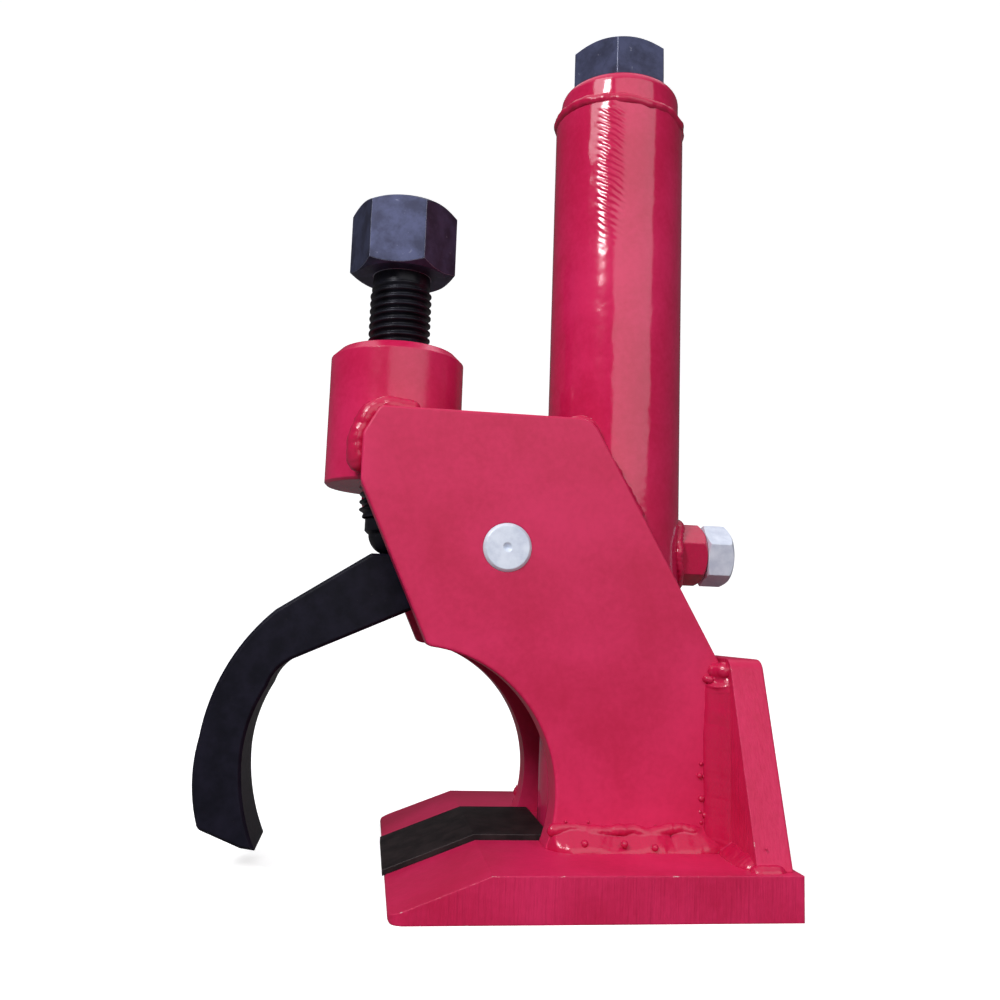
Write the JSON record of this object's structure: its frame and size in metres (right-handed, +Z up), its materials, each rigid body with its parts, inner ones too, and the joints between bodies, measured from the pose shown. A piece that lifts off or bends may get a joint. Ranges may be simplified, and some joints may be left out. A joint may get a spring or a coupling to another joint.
{
  "type": "c-frame screw press with hook jaw",
  "caption": "Portable welded C-frame screw press: wedge-nosed base, hook jaw on a pin worked by a set bolt, and a screw-driven ram in an upright tube.",
  "frame": {"origin": "on the underside of the base plate, in the middle plane, straight below the hook's pivot pin", "axes": "+Z up along the ram and the set bolt, +X from the hook jaw towards the press tube, +Y across the frame to the rear side plate"},
  "size_m": [0.1968, 0.144, 0.3242],
  "materials": {
    "frame_red": "glossy crimson enamel over flame-cut and welded steel",
    "weld_red": "the same enamel over rippled weld beads",
    "hook_black": "semi-gloss black paint",
    "black_oxide": "black oxide with a blue sheen, bright at the corners",
    "zinc": "bright zinc plate",
    "bare_steel": "ground and oiled steel",
    "bronze": "bearing bronze",
    "pad_black": "worn black rubber"
  },
  "bodies": {
    "frame": {"base_plate": "frame_red", "base_pad": "pad_black", "front_side_plate": "frame_red", "rear_side_plate": "frame_red", "back_plate": "frame_red", "bolt_boss": "frame_red", "press_tube": "frame_red", "tube_cap": "frame_red", "boss_welds": "weld_red", "tube_welds": "weld_red", "base_welds": "weld_red", "back_plate_welds": "weld_red", "cap_weld": "weld_red", "guide_nut_weld": "weld_red", "guide_nut": "frame_red", "guide_bolt": "zinc", "pivot_pin": "zinc", "pin_retaining_ring": "bare_steel", "front_spacer": "bare_steel", "rear_spacer": "bare_steel", "thrust_race_upper": "bare_steel", "thrust_balls": "bare_steel", "thrust_cage": "bronze"},
    "hook": {"hook_jaw": "hook_black", "hook_bushing": "bronze"},
    "set_bolt_tip": {"set_bolt_tip": "bare_steel"},
    "set_bolt": {"set_bolt": "black_oxide"},
    "drive_screw": {"drive_screw": "black_oxide", "thrust_race_lower": "bare_steel", "thrust_collar": "bare_steel", "collar_pin": "bare_steel"},
    "ram": {"ram": "bare_steel", "ram_nut": "bronze", "ram_nut_screws": "bare_steel", "ram_foot": "bare_steel", "ram_foot_screw": "black_oxide"}
  },
  "joints": [
    {"name": "set_bolt_feed", "type": "slide", "parent": "frame", "child": "set_bolt_tip", "axis": [0, 0, -1], "range_m": [-0.00905, 0.01205]},
    {"name": "set_bolt_turn", "type": "hinge", "parent": "set_bolt_tip", "child": "set_bolt", "pos_m": [-0.04, 0, 0.19], "axis": [0, 0, -1], "range_deg": [-1080, 1440]},
    {"name": "hook_swing", "type": "hinge", "parent": "frame", "child": "hook", "pos_m": [0, 0, 0.1145], "axis": [0, -1, 0], "range_deg": [-12.95, 17.25]},
    {"name": "drive_screw_turn", "type": "hinge", "parent": "frame", "child": "drive_screw", "pos_m": [0.0465, 0, 0.29], "axis": [0, 0, -1], "range_deg": [0, 4325]},
    {"name": "ram_slide", "type": "slide", "parent": "frame", "child": "ram", "axis": [0, 0, -1], "range_m": [0, 0.06]}
  ],
  "couplings": [
    {"joint": "set_bolt_feed", "follows": "set_bolt_turn", "m_per_rad": 0.00047746},
    {"joint": "hook_swing", "follows": "set_bolt_turn", "ratio": 0.011937},
    {"joint": "drive_screw_turn", "follows": "ram_slide", "rad_per_m": 1256.6}
  ]
}
